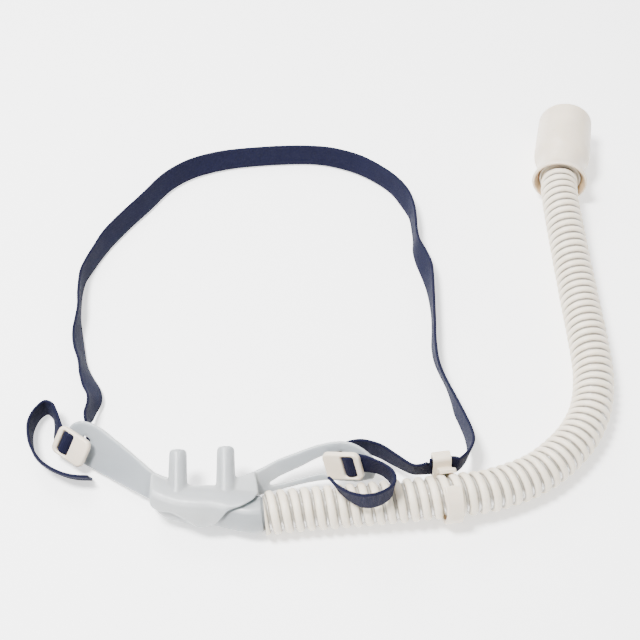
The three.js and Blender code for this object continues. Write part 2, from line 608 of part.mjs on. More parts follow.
function headStrap() {
  const left = THROUGH_BUCKLE.map(([x, z]) => onBuckle(LEFT_BUCKLE, x, z));
  const right = THROUGH_BUCKLE.map(([x, z]) => onBuckle(RIGHT_BUCKLE, x, z));
  const stations = [
    strapStation(-63.8, -76.2, 4.9, 0, -0.40),
    strapStation(-70.0, -75.8, 4.9, 0, -0.40),
    strapStation(-77.0, -73.5, 4.9, 0, -0.38),
    strapStation(-83.6, -69.3, 5.0, -0.05, -0.28),
    strapStation(-88.2, -63.6, 5.2, 0, -0.08),
    strapStation(-90.4, -57.6, 5.2, 0, 0),
    strapStation(-90.8, -51.4, 5.2, 0, 0),
    strapStation(-89.0, -45.8, 5.2, 0, -0.1),
    strapStation(-86.0, -43.0, 5.3, 0, 0),
    strapStation(-83.0, -44.6, 5.6, 0.02, 0.2, 9.8),
    strapStation(-80.8, -49.2, 6.6, 0.05, 0.45, 9.0),
    ...left.slice().reverse(),
    onBuckle(LEFT_BUCKLE, -1.1, -2.5),
    onBuckle(LEFT_BUCKLE, LEFT_SLOT + 0.2, -3.8),
    onBuckle(LEFT_BUCKLE, LEFT_SLOT, -6.6),
    strapStation(-66.8, -57.2, 4.7, 0, 0.38, 8.2),
    strapStation(-67.2, -52.5, 5.9, -0.08, 0.3, 8.6),
    strapStation(-67.6, -49.1, 7.5, -0.15, 0.2, 9.2),
    strapStation(-67.1, -45.1, 7.0, -0.12, 0.1),
    strapStation(-66.7, -41.0, 6.6, -0.34, 0.0),
    strapStation(-67.0, -37.2, 6.0, -0.62, 0.0),
    strapStation(-68.5, -33.0, 5.5, -0.72, 0.0),
    strapStation(-71.0, -27.6, 5.2, -0.54, -0.05),
    strapStation(-73.7, -20.4, 5.2, -0.24, -0.1),
    strapStation(-76.1, -13.3, 5.2, -0.33, -0.1),
    strapStation(-77.6, -6.3, 5.2, -0.31, -0.05),
    strapStation(-78.4, 0.7, 5.2, -0.11, 0.0),
    strapStation(-79.0, 7.7, 5.2, 0.08, 0.0),
    strapStation(-79.8, 14.7, 5.2, 0.05, 0.0),
    strapStation(-80.2, 21.7, 5.2, 0.03, 0.0),
    strapStation(-79.8, 29.0, 5.2, -0.06, 0.0),
    strapStation(-77.6, 36.5, 5.0, -0.16, 0.0),
    strapStation(-74.9, 43.5, 5.0, -0.20, 0.05),
    strapStation(-71.4, 51.6, 5.0, -0.33, 0.12),
    strapStation(-64.7, 62.6, 5.0, -0.35, 0.17),
    strapStation(-56.0, 75.1, 5.0, -0.31, 0.28),
    strapStation(-46.6, 89.0, 5.0, -0.27, 0.36),
    strapStation(-36.9, 97.3, 4.9, -0.22, 0.45),
    strapStation(-27.1, 101.9, 4.8, -0.16, 0.50),
    strapStation(-16.9, 104.7, 4.8, -0.08, 0.47),
    strapStation(-7.0, 106.2, 4.8, -0.07, 0.42),
    strapStation(2.8, 107.2, 4.8, -0.07, 0.42),
    strapStation(12.9, 107.8, 4.8, -0.04, 0.40),
    strapStation(23.0, 107.6, 4.9, 0.0, 0.38),
    strapStation(32.4, 106.2, 4.9, 0.1, 0.42),
    strapStation(44.5, 101.7, 4.9, 0.2, 0.40),
    strapStation(53.8, 95.4, 5.0, 0.27, 0.25),
    strapStation(62.7, 86.6, 5.0, 0.34, 0.10),
    strapStation(67.6, 78.0, 5.0, 0.40, 0.02),
    strapStation(70.5, 69.0, 5.1, 0.16, 0.0),
    strapStation(71.1, 61.3, 5.1, 0.12, 0.0),
    strapStation(71.3, 54.3, 5.1, 0.07, 0.0),
    strapStation(71.5, 47.3, 5.1, 0.22, 0.0),
    strapStation(73.4, 40.3, 4.8, 0.46, 0.0),
    strapStation(75.3, 33.3, 4.8, 0.46, 0.0),
    strapStation(76.3, 26.3, 5.0, 0.28, 0.0),
    strapStation(76.7, 19.3, 5.2, 0.13, 0.0),
    strapStation(76.9, 12.3, 5.2, 0.04, 0.0),
    strapStation(76.8, 5.3, 5.2, 0.01, 0.0),
    strapStation(76.5, -1.7, 5.2, 0.03, 0.0),
    strapStation(76.1, -8.7, 5.2, 0.05, 0.0),
    strapStation(76.4, -15.7, 5.2, 0.0, 0.0),
    strapStation(77.6, -22.7, 5.2, -0.15, 0.0),
    strapStation(79.7, -29.7, 5.2, -0.22, 0.0),
    strapStation(81.7, -36.7, 5.4, -0.12, 0.0),
    strapStation(83.4, -43.7, 5.9, 0.06, 0.0),
    strapStation(85.3, -50.7, 6.9, 0.08, 0.0),
    strapStation(86.8, -57.8, 8.4, 0.12, 0.0),
    strapStation(86.9, -64.6, 10.3, 0.16, 0.0),
    strapStation(84.4, -71.0, 12.4, 0.12, 0.0, 9.4),
    strapStation(80.6, -75.4, 13.9, 0.05, 0.1, 8.6),
    ...CLIP_LOOP_STATIONS,
    strapStation(70.4, -76.8, 14.2, -0.02, 0.1, 8.4),
    strapStation(64.0, -77.0, 12.4, 0.0, -0.32, 9.2),
    strapStation(57.4, -72.4, 11.2, 0.0, -0.20),
    strapStation(51.0, -67.6, 10.6, 0.0, -0.06),
    strapStation(45.4, -65.2, 10.4, 0.0, 0.0, 9.6),
    strapStation(41.4, -65.4, 10.4, 0.0, 0.2, 9.0),
    strapStation(36.6, -67.0, 10.4, -0.05, 0.35, 8.2),
    strapStation(32.4, -69.4, 10.6, -0.1, 0.4, 7.8),
    strapStation(30.5, -72.2, 12.0, -0.2, 0.45, 7.6),
    strapStation(30.6, -74.8, 14.4, -0.23, 0.45, 7.8),
    onBuckle(RIGHT_BUCKLE, -2.6, -2.4),
    ...right,
    strapStation(47.8, -82.4, 21.8, -0.1, 0.3, 9.2),
    strapStation(51.6, -85.6, 23.0, 0.1, 0.15, 9.8),
    strapStation(53.4, -88.6, 23.7, 0.25, 0.05),
    strapStation(52.6, -92.6, 23.9, 0.2, -0.02),
    strapStation(48.4, -96.0, 23.9, 0.0, -0.06),
    strapStation(43.2, -96.8, 23.7, 0, -0.08),
    strapStation(38.4, -95.2, 23.4, -0.05, -0.2),
    strapStation(34.2, -91.6, 22.8, 0.0, -0.4),
    strapStation(31.8, -88.2, 22.2, 0.0, -0.55),
  ];
  return band(stations, STRAP_THICKNESS, STRAP_STEPS);
}

// Tube clip: an open ring round the hose with a closed loop for the strap behind it
function clipRing() {
  const inner = HOSE_OUTER / 2 + CLEARANCE + 0.1;
  const outer = inner + CLIP_WALL;
  const from = THREE.MathUtils.degToRad(CLIP_OPEN_TO);
  const to = THREE.MathUtils.degToRad(CLIP_OPEN_FROM);
  const ring = new THREE.Shape();
  ring.absarc(0, 0, outer, from, to, true);
  ring.absarc(0, 0, inner, to, from, false);
  ring.closePath();
  const ringBody = new THREE.ExtrudeGeometry(ring, {
    depth: CLIP_WIDTH, bevelEnabled: false, curveSegments: 40,
  });
  return ringBody.translate(0, 0, -CLIP_WIDTH / 2);
}

function tubeClip() {
  const slotWide = STRAP_THICKNESS + 2 * CLEARANCE + 1.0;
  const slotHigh = STRAP_GATHERED + 2 * CLEARANCE + 0.8;
  const wide = slotWide + 2 * CLIP_LOOP_WALL;
  const high = slotHigh + 2 * CLIP_LOOP_WALL;
  const shape = roundedRectangle(new THREE.Shape(), -wide / 2, -high / 2, wide / 2, high / 2, 1.6);
  shape.holes.push(roundedRectangle(
    new THREE.Path(), -slotWide / 2, -slotHigh / 2, slotWide / 2, slotHigh / 2, 0.5));
  const loop = new THREE.ExtrudeGeometry(shape, {
    depth: LOOP_LENGTH, bevelEnabled: false, curveSegments: 5,
  });
  loop.translate(0, 0, -LOOP_LENGTH / 2);
  loop.rotateZ(-LOOP_LEAN);
  loop.translate(LOOP_BACK, LOOP_RISE, LOOP_ALONG);
  return geometryOf(solid(clipRing()).add(solid(loop)));
}

// The scene graph
const group = new THREE.Group();
const whole = new THREE.Group();
whole.position.set(FRAME_SHIFT[0], FRAME_SHIFT[1], FRAME_SHIFT[2]);
group.add(whole);

function add(name, geometry, material) {
  const mesh = new THREE.Mesh(geometry, material);
  mesh.name = name;
  whole.add(mesh);
  return mesh;
}

function setFrame(mesh, x, y, z, origin) {
  const basis = new THREE.Matrix4().makeBasis(x, y, z);
  mesh.setRotationFromMatrix(basis);
  mesh.position.copy(origin);
}

add('nasal_cannula', nasalCannula(), plastic(SILICONE, 0.45));
add('manifold_elbow', manifoldElbow(), plastic(SILICONE, 0.35));
add('hose', hose(), plastic(RIBBED, 0.5));
add('head_strap', headStrap(), plastic(NAVY, 0.9));

const leftBuckle = add('buckle_left', buckle(), plastic(CREAM, 0.4));
setFrame(leftBuckle, LEFT_BUCKLE.x, LEFT_BUCKLE.y, LEFT_BUCKLE.z, LEFT_BUCKLE.origin);
const rightBuckle = add('buckle_right', buckle(), plastic(CREAM, 0.4));
setFrame(rightBuckle, RIGHT_BUCKLE.x, RIGHT_BUCKLE.y, RIGHT_BUCKLE.z, RIGHT_BUCKLE.origin);

const clipMesh = add('tube_clip', tubeClip(), plastic(CREAM, 0.4));
setFrame(clipMesh, CLIP_BACK, CLIP_UP, CLIP_AHEAD, CLIP_PLACE);

const connectorUp = new THREE.Vector3(0, 0, 1);
const connectorSide = new THREE.Vector3().crossVectors(CONNECTOR_AHEAD, connectorUp);
const cuffAt = CONNECTOR_START.clone().addScaledVector(CONNECTOR_AHEAD, CUFF_START);
const cuff = add('hose_cuff', hoseCuff(), plastic(CREAM, 0.4));
setFrame(cuff, connectorSide, CONNECTOR_AHEAD, connectorUp, cuffAt);
const connector = add('swivel_connector', swivelConnector(), plastic(CREAM, 0.35));
setFrame(connector, connectorSide, CONNECTOR_AHEAD, connectorUp, CONNECTOR_START);

export default group;
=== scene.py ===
"""Nasal oxygen cannula with corrugated hose, head strap and swivel connector: the looks."""

import math

import bmesh
import bpy
import numpy as np
from mathutils import Matrix, Vector
from mathutils.noise import noise


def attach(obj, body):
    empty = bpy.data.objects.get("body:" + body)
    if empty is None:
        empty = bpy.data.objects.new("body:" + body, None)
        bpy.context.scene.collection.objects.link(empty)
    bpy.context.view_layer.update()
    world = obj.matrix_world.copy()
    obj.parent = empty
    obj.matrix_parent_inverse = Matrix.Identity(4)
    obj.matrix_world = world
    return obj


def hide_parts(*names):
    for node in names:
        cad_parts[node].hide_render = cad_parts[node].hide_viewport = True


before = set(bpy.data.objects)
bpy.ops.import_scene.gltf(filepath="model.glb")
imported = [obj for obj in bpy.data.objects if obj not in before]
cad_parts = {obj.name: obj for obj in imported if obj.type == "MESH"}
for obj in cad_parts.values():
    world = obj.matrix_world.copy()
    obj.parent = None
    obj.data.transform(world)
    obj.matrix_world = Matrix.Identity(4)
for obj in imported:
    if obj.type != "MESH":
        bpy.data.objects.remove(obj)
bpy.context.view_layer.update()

MM = 0.001
FRAME_SHIFT = np.array([1.6, -4.1, 0.0])


def metres(points):
    """Points in the drawing's millimetres, as metres in the row frame."""
    return (np.asarray(points, float) + FRAME_SHIFT) * MM


# Camera, at the photograph's angle
CAMERA_PLACE = [27.0, -310.0, 399.0]
CAMERA_TILT = math.radians(38.5)
SENSOR_WIDTH = 36.0
FOCAL_LENGTH = 64.7


def add_camera():
    data = bpy.data.cameras.new("photo_camera")
    data.sensor_width = SENSOR_WIDTH
    data.lens = FOCAL_LENGTH
    camera = bpy.data.objects.new("photo_camera", data)
    bpy.context.collection.objects.link(camera)
    camera.location = metres(CAMERA_PLACE)
    camera.rotation_euler = (CAMERA_TILT, 0.0, 0.0)
    bpy.context.scene.camera = camera


# Helpers

CURVE_STEPS = 24


def smooth_line(points, count):
    """A centripetal curve through points, resampled to equal steps."""
    points = np.asarray(points, float)
    ends = np.vstack([2 * points[0] - points[1], points, 2 * points[-1] - points[-2]])
    knots = [0.0]
    for a, b in zip(ends[:-1], ends[1:]):
        knots.append(knots[-1] + max(np.linalg.norm(b - a), 1e-6) ** 0.5)
    dense = []
    for i in range(1, len(ends) - 2):
        t0, t1, t2, t3 = knots[i - 1 : i + 3]
        p0, p1, p2, p3 = ends[i - 1 : i + 3]
        for t in np.linspace(t1, t2, CURVE_STEPS, endpoint=False):
            a1 = (t1 - t) / (t1 - t0) * p0 + (t - t0) / (t1 - t0) * p1
            a2 = (t2 - t) / (t2 - t1) * p1 + (t - t1) / (t2 - t1) * p2
            a3 = (t3 - t) / (t3 - t2) * p2 + (t - t2) / (t3 - t2) * p3
            b1 = (t2 - t) / (t2 - t0) * a1 + (t - t0) / (t2 - t0) * a2
            b2 = (t3 - t) / (t3 - t1) * a2 + (t - t1) / (t3 - t1) * a3
            dense.append((t2 - t) / (t2 - t1) * b1 + (t - t1) / (t2 - t1) * b2)
    dense.append(points[-1])
    return even(np.array(dense), count)


def even(dense, count):
    """Rows whose first three numbers are a place, resampled to equal steps between places."""
    steps = np.linalg.norm(np.diff(dense[:, :3], axis=0), axis=1)
    lengths = np.concatenate([[0], np.cumsum(steps)])
    at = np.linspace(0, lengths[-1], count)
    return np.stack([np.interp(at, lengths, dense[:, k]) for k in range(dense.shape[1])], 1)


def tangents(line):
    ahead = np.gradient(line, axis=0)
    return ahead / np.linalg.norm(ahead, axis=1)[:, None]


def unit(rows):
    return rows / np.linalg.norm(rows, axis=-1, keepdims=True)


def new_mesh(name, vertices, faces):
    mesh = bpy.data.meshes.new(name)
    mesh.from_pydata([tuple(v) for v in vertices], [], [tuple(f) for f in faces])
    mesh.update()
    for polygon in mesh.polygons:
        polygon.use_smooth = True
    piece = bpy.data.objects.new(name, mesh)
    bpy.context.collection.objects.link(piece)
    return piece


def ring_faces(rows, columns):
    """Faces between rings of vertices, each ring closed on itself."""
    faces = []
    for i in range(rows - 1):
        here = i * columns
        ahead = here + columns
        for j in range(columns):
            k = (j + 1) % columns
            faces.append((here + j, here + k, ahead + k, ahead + j))
    return faces


def run_length(line):
    return float(np.linalg.norm(np.diff(line, axis=0), axis=1).sum())


def level_frames(line):
    """Side and top directions along a line that runs nearly level."""
    ahead = tangents(line)
    side = unit(np.cross(ahead, [0.0, 0.0, 1.0]))
    return side, np.cross(side, ahead)


def vertex_rows(piece):
    """A mesh's points in the drawing's millimetres, and its vertex normals."""
    count = len(piece.data.vertices)
    points = np.empty(count * 3, np.float32)
    piece.data.vertices.foreach_get("co", points)
    normals = np.array([tuple(normal.vector) for normal in piece.data.vertex_normals])
    return points.reshape(-1, 3) / MM - FRAME_SHIFT, normals


def spread(piece, values, rounds):
    """Vertex values averaged along the mesh's edges, some rounds over."""
    ends = np.empty(len(piece.data.edges) * 2, np.int32)
    piece.data.edges.foreach_get("vertices", ends)
    ends = ends.reshape(-1, 2)
    count = np.bincount(ends.ravel(), minlength=len(values)).clip(1)
    for _ in range(rounds):
        total = np.bincount(ends[:, 0], values[ends[:, 1]], len(values))
        total += np.bincount(ends[:, 1], values[ends[:, 0]], len(values))
        values = 0.5 * values + 0.5 * total / count
    return values


def store(piece, name, values):
    """Keeps one number for each vertex, for a material to read."""
    attribute = piece.data.attributes.new(name, "FLOAT", "POINT")
    attribute.data.foreach_set("value", np.asarray(values, np.float32))


def step(values, low, high):
    """0 below low, 1 above high and smooth between them."""
    share = np.clip((values - low) / (high - low), 0, 1)
    return share * share * (3 - 2 * share)


def soft_copy(node, name, voxel, smoothing, added=()):
    """A copy of a CAD node and added blocks, remeshed to voxel millimetres, its edges eased."""
    source = bpy.data.objects[node]
    piece = bpy.data.objects.new(name, source.data.copy())
    if added:
        shape = bmesh.new()
        shape.from_mesh(piece.data)
        for matrix in added:
            bmesh.ops.create_cube(shape, size=1.0, matrix=matrix)
        shape.to_mesh(piece.data)
        shape.free()
    bpy.context.collection.objects.link(piece)
    piece.data.materials.clear()
    remesh = piece.modifiers.new("remesh", "REMESH")
    remesh.mode = "VOXEL"
    remesh.voxel_size = voxel * MM
    remesh.use_smooth_shade = True
    ease = piece.modifiers.new("ease", "SMOOTH")
    ease.factor = 0.5
    ease.iterations = smoothing
    apply_modifiers(piece)
    return piece


def apply_modifiers(piece):
    graph = bpy.context.evaluated_depsgraph_get()
    evaluated = piece.evaluated_get(graph)
    mesh = bpy.data.meshes.new_from_object(evaluated)
    piece.modifiers.clear()
    old = piece.data
    piece.data = mesh
    bpy.data.meshes.remove(old)
    for polygon in piece.data.polygons:
        polygon.use_smooth = True


# Materials


class Nodes:
    """Short hand for building a node material."""

    def __init__(self, name):
        self.material = bpy.data.materials.new(name)
        self.material.use_nodes = True
        self.tree = self.material.node_tree
        self.tree.nodes.clear()
        self.out = self.tree.nodes.new("ShaderNodeOutputMaterial")
        self.surface = self.tree.nodes.new("ShaderNodeBsdfPrincipled")
        self.link(self.surface.outputs["BSDF"], self.out.inputs["Surface"])

    def link(self, a, b):
        self.tree.links.new(a, b)

    def add(self, kind, **settings):
        node = self.tree.nodes.new(kind)
        for key, value in settings.items():
            setattr(node, key, value)
        return node

    def set(self, **values):
        """Sets the surface's inputs, an underscore standing for a space in their names."""
        for key, value in values.items():
            self.surface.inputs[key.replace("_", " ")].default_value = value

    def drive(self, key, output):
        self.link(output, self.surface.inputs[key])

    def attribute(self, name):
        return self.add("ShaderNodeAttribute", attribute_name=name).outputs["Fac"]

    def multiply(self, share, colour, tint):
        """A colour darkened by a tint, by a share that is a number or an output."""
        node = self.add("ShaderNodeMixRGB", blend_type="MULTIPLY")
        for socket, value in zip(node.inputs, (share, colour, tint)):
            if isinstance(value, (float, tuple)):
                socket.default_value = value
            else:
                self.link(value, socket)
        return node.outputs["Color"]

    def noise(self, scale, detail=3.0, rough=0.5):
        node = self.add("ShaderNodeTexNoise")
        node.inputs["Scale"].default_value = scale
        node.inputs["Detail"].default_value = detail
        node.inputs["Roughness"].default_value = rough
        where = self.add("ShaderNodeTexCoord")
        self.link(where.outputs["Object"], node.inputs["Vector"])
        return node.outputs["Fac"]

    def ramp(self, value, stops):
        node = self.add("ShaderNodeValToRGB")
        elements = node.color_ramp.elements
        while len(elements) < len(stops):
            elements.new(0.5)
        for element, (at, colour) in zip(elements, stops):
            element.position = at
            element.color = (*colour, 1.0)
        self.link(value, node.inputs["Fac"])
        return node.outputs["Color"]

    def range(self, value, old, new):
        """A value mapped from its old low and high ends to new ones."""
        node = self.add("ShaderNodeMapRange")
        for key, number in zip(("From Min", "From Max", "To Min", "To Max"), (*old, *new)):
            node.inputs[key].default_value = number
        self.link(value, node.inputs["Value"])
        return node.outputs["Result"]

    def maths(self, operation, a, b=None):
        node = self.add("ShaderNodeMath", operation=operation)
        for socket, value in zip(node.inputs, (a, b)):
            if value is None:
                continue
            if isinstance(value, (int, float)):
                socket.default_value = value
            else:
                self.link(value, socket)
        return node.outputs["Value"]

    def bump(self, height, distance, strength=1.0, normal=None):
        node = self.add("ShaderNodeBump")
        node.inputs["Distance"].default_value = distance
        node.inputs["Strength"].default_value = strength
        self.link(height, node.inputs["Height"])
        if normal is not None:
            self.link(normal, node.inputs["Normal"])
        return node.outputs["Normal"]


def moulded_plastic(name, colour, rough):
    """Warm cream moulding: faint mottling, uneven gloss, a fine grain and painted shade, a deeper tan, on
    faces that look inward.
    """
    n = Nodes(name)
    broad = n.noise(scale=90.0, detail=4.0, rough=0.6)
    lighter = tuple(min(1.0, c * 1.04) for c in colour)
    darker = tuple(c * 0.94 for c in colour)
    mottled = n.ramp(broad, [(0.3, darker), (0.7, lighter)])
    # Faces marked inside are multiplied by a tan tint: painted shade inside the connector's flared ring.
    n.drive("Base Color", n.multiply(n.attribute("inside"), mottled, (0.62, 0.50, 0.36, 1.0)))
    n.drive("Roughness", n.range(n.noise(scale=260.0), (0.3, 0.7), (rough - 0.05, rough + 0.07)))
    n.set(Subsurface_Weight=0.25, Subsurface_Radius=(0.0022, 0.0017, 0.0012), Subsurface_Scale=1.0)
    n.set(IOR=1.46)
    grain = n.noise(scale=2600.0, detail=2.0)
    uneven = n.bump(broad, distance=0.00025, strength=0.35)
    n.drive("Normal", n.bump(grain, distance=0.00003, strength=0.5, normal=uneven))
    return n.material


def silicone(name, thin, milky_or_edge_lit, rough, clear):
    """Frosted silicone: greyer where it is a thin web, milky where it is thicker, and lighter where edge
    light is painted round the cannula's arms.
    """
    n = Nodes(name)
    broad = n.noise(scale=55.0, detail=4.0, rough=0.55)
    fine = n.noise(scale=420.0, detail=4.0, rough=0.6)
    patchy = n.maths("MULTIPLY", n.maths("SUBTRACT", broad, 0.5), 0.5)
    # The attribute read here holds the silicone's own milkiness and, on the cannula's arm edges, painted
    # edge light.
    cloud = n.maths("ADD", n.attribute("milk_and_edge_light"), patchy)
    n.drive("Base Color", n.ramp(cloud, [(0.0, thin), (1.0, milky_or_edge_lit)]))
    n.drive("Roughness", n.range(fine, (0.3, 0.7), (rough - 0.06, rough + 0.1)))
    n.set(Subsurface_Weight=0.7, Subsurface_Radius=(0.004, 0.0042, 0.0044), Subsurface_Scale=1.0)
    n.set(IOR=1.41, Transmission_Weight=clear, Coat_Weight=0.2, Coat_Roughness=0.3)
    uneven = n.bump(broad, distance=0.0006, strength=0.45)
    n.drive("Normal", n.bump(fine, distance=0.00006, strength=0.5, normal=uneven))
    return n.material


def hose_plastic(name):
    """Off-white satin ribs and the thin, creased, half clear film sunk between them, with shade painted
    into the grooves.
    """
    n = Nodes(name)
    rib = n.attribute("rib")
    streak = n.noise(scale=140.0, detail=4.0, rough=0.65)
    crease = n.noise(scale=760.0, detail=5.0, rough=0.65)
    edge = n.maths("ADD", rib, n.maths("MULTIPLY", n.maths("SUBTRACT", crease, 0.5), 0.22))
    # The dark stop just above the film paints shade into the groove at each rib's foot; the film's grey
    # is partly its own tone and partly painted shade between the ribs.
    colour = n.ramp(
        edge,
        [
            (0.10, (0.40, 0.37, 0.32)),
            (0.24, (0.09, 0.08, 0.06)),
            (0.40, (0.50, 0.45, 0.37)),
            (0.62, (0.80, 0.72, 0.595)),
        ],
    )
    streaks = n.ramp(streak, [(0.25, (0.88, 0.87, 0.84)), (0.75, (1.0, 1.0, 1.0))])
    n.drive("Base Color", n.multiply(1.0, colour, streaks))
    n.drive("Roughness", n.range(rib, (0.0, 0.5), (0.16, 0.42)))
    n.drive("Transmission Weight", n.range(rib, (0.1, 0.4), (0.30, 0.0)))
    n.set(Subsurface_Weight=0.25, Subsurface_Radius=(0.0018, 0.0015, 0.0011), Subsurface_Scale=1.0)
    uneven = n.bump(streak, distance=0.0003, strength=0.35)
    n.drive("Normal", n.bump(crease, distance=0.00012, strength=0.6, normal=uneven))
    return n.material


# The webbing's weave, in millimetres
CROSS_RIB = 0.62
LONG_CORD = 0.55


def webbing(name):
    """Navy elastic webbing: fine cross ribs, a knit of lengthwise cords and fuzz."""
    n = Nodes(name)
    uv = n.add("ShaderNodeUVMap")
    uv.uv_map = "along"
    split = n.add("ShaderNodeSeparateXYZ")
    n.link(uv.outputs["UV"], split.inputs["Vector"])
    along, across = split.outputs["X"], split.outputs["Y"]
    cross_rib = n.maths("SINE", n.maths("MULTIPLY", along, 2 * math.pi / CROSS_RIB))
    cords = n.maths("SINE", n.maths("MULTIPLY", across, 2 * math.pi / LONG_CORD))
    weave = n.maths("MULTIPLY", cross_rib, cords)
    knit = n.maths("ADD", n.maths("MULTIPLY", cross_rib, 0.5), n.maths("MULTIPLY", weave, 0.5))
    fuzz = n.noise(scale=1500.0, detail=4.0, rough=0.7)
    height = n.maths("ADD", knit, n.maths("MULTIPLY", fuzz, 0.8))
    broad = n.noise(scale=120.0, detail=3.0)
    colour = n.ramp(
        n.range(height, (-0.8, 1.6), (0.0, 1.0)),
        [(0.2, (0.0006, 0.0008, 0.008)), (0.8, (0.0024, 0.0032, 0.026))],
    )
    wear = n.ramp(broad, [(0.3, (0.72, 0.72, 0.78)), (0.7, (1.0, 1.0, 1.0))])
    n.drive("Base Color", n.multiply(0.6, colour, wear))
    n.drive("Roughness", n.range(fuzz, (0.3, 0.7), (0.72, 0.92)))
    n.set(Sheen_Weight=0.03, Sheen_Roughness=0.4, Sheen_Tint=(0.35, 0.42, 0.85, 1.0))
    n.set(Specular_IOR_Level=0.2)
    n.drive("Normal", n.bump(height, distance=0.00016, strength=0.8))
    return n.material


CREAM = moulded_plastic("cream_plastic", colour=(0.70, 0.61, 0.49), rough=0.32)
SILICONE = silicone(
    "frosted_silicone", thin=(0.27, 0.295, 0.32), milky_or_edge_lit=(0.53, 0.54, 0.535), rough=0.40, clear=0.22
)
MANIFOLD = silicone(
    "grey_silicone", thin=(0.32, 0.345, 0.36), milky_or_edge_lit=(0.50, 0.51, 0.51), rough=0.34, clear=0.30
)
HOSE = hose_plastic("hose_rib_and_film")
WEBBING = webbing("navy_webbing")


# Hose

CONNECTOR_START = np.array([140.3, 79.7, 13.3])
CONNECTOR_ANGLE = math.radians(78.8)
CONNECTOR_AHEAD = np.array([math.cos(CONNECTOR_ANGLE), math.sin(CONNECTOR_ANGLE), 0.0])
HOSE_INSIDE = 11.0
HOSE_OUTER = 17.0
HOSE_MIDDLE = [
    [5.6, -94.0, 8.6],
    [12.0, -93.2, 8.6],
    [19.3, -92.3, 8.6],
    [34.7, -91.2, 9.0],
    [50.0, -90.1, 9.8],
    [65.4, -88.9, 10.6],
    [77.0, -87.7, 11.0],
    [88.8, -85.8, 10.4],
    [96.7, -83.4, 9.6],
    [104.9, -80.0, 9.0],
    [113.3, -75.6, 8.7],
    [121.2, -69.4, 8.6],
    [128.4, -62.0, 8.6],
    [133.9, -54.0, 8.6],
    [137.8, -45.4, 8.6],
    [140.2, -36.0, 8.6],
    [141.4, -26.0, 8.6],
    [141.6, -15.0, 8.6],
    [141.5, -4.0, 8.6],
    [141.2, 8.0, 8.6],
    [140.9, 22.0, 9.0],
    [140.4, 34.0, 9.9],
    [140.0, 46.0, 11.0],
    [139.6, 58.0, 12.2],
    [139.4, 68.0, 13.0],
    [139.8, 77.0, 13.3],
]
RIB_PITCH_START = 4.42
RIB_PITCH_END = 3.82
PITCH_CHANGES = (72.0, 128.0)
RIB_DEPTH = 1.45
RIB_SHARE = 0.74
RIB_ROUNDNESS = 2.2
FILM_SAG = 0.10
FILM_LEVEL = 0.12
RIPPLE = 0.08
RIPPLE_ROUND = 3
RIPPLE_ALONG = 0.35
ROWS_A_RIB = 16
HOSE_COLUMNS = 60
MEASURE_STEPS = 2000


def hose_line(count):
    """The hose's middle, from the manifold to its end inside the connector."""
    points = [np.array(p) for p in HOSE_MIDDLE]
    points.append(CONNECTOR_START + CONNECTOR_AHEAD * HOSE_INSIDE / 2)
    points.append(CONNECTOR_START + CONNECTOR_AHEAD * HOSE_INSIDE)
    return smooth_line(points, count)


def rib_height(phase):
    """1 on a rib's rounded crest, 0 on the film, from the share of a pitch."""
    reach = np.abs(((phase + 0.5) % 1.0) - 0.5) / (RIB_SHARE / 2)
    crest = np.sqrt(np.clip(1 - np.clip(reach, 0, 1) ** RIB_ROUNDNESS, 0, 1))
    sag = FILM_SAG * np.clip((reach - 1) / (1 / RIB_SHARE - 1), 0, 1)
    return np.where(reach < 1, crest, -sag)


def build_hose():
    """The hose: one helical rib and the film between its turns, as one skin."""
    length = run_length(hose_line(MEASURE_STEPS))
    rows = int(length / RIB_PITCH_END * ROWS_A_RIB)
    line = hose_line(rows)
    side, top = level_frames(line)
    along = np.linspace(0, length, rows)
    angle = np.linspace(0, 2 * math.pi, HOSE_COLUMNS, endpoint=False)
    pitch = np.interp(along, PITCH_CHANGES, (RIB_PITCH_START, RIB_PITCH_END))
    turns = np.concatenate([[0], np.cumsum(np.diff(along) / pitch[1:])])
    height = rib_height(turns[:, None] + angle[None, :] / (2 * math.pi))
    round_trip = [(math.cos(a) * RIPPLE_ROUND, math.sin(a) * RIPPLE_ROUND) for a in angle]
    ripple = np.array([[noise(Vector((x, y, s * RIPPLE_ALONG))) for x, y in round_trip] for s in along])
    radius = HOSE_OUTER / 2 - RIB_DEPTH * (1 - height) + RIPPLE * ripple
    across = np.cos(angle)[None, :, None] * side[:, None, :]
    upward = np.sin(angle)[None, :, None] * top[:, None, :]
    vertices = line[:, None, :] + radius[:, :, None] * (across + upward)
    faces = ring_faces(rows, HOSE_COLUMNS)
    piece = new_mesh("ribbed_hose", metres(vertices.reshape(-1, 3)), faces)
    piece.data.materials.append(HOSE)
    store(piece, "rib", (FILM_LEVEL + (1 - FILM_LEVEL) * height).clip(0, 1).reshape(-1))
    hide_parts("hose")
    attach(piece, "cannula")
    return piece


# Strap

STRAP_WIDTH = 10.0
STRAP_GATHERED = 8.2
STRAP_IN_WINDOW = 8.9
STRAP_THICKNESS = 1.1
STRAP_ROWS = 1300
STRAP_COLUMNS = 15
EDGE_STEPS = 3
LEAN_EASING = 9
SELVEDGE_FROM = 0.86
SELVEDGE_EXTRA = 0.10
CUPPING = 0.10
CUPPING_ALONG = 0.16
CUPPING_LEVEL = 0.4
FLUTTER = 0.05
FLUTTER_ALONG = 1.4

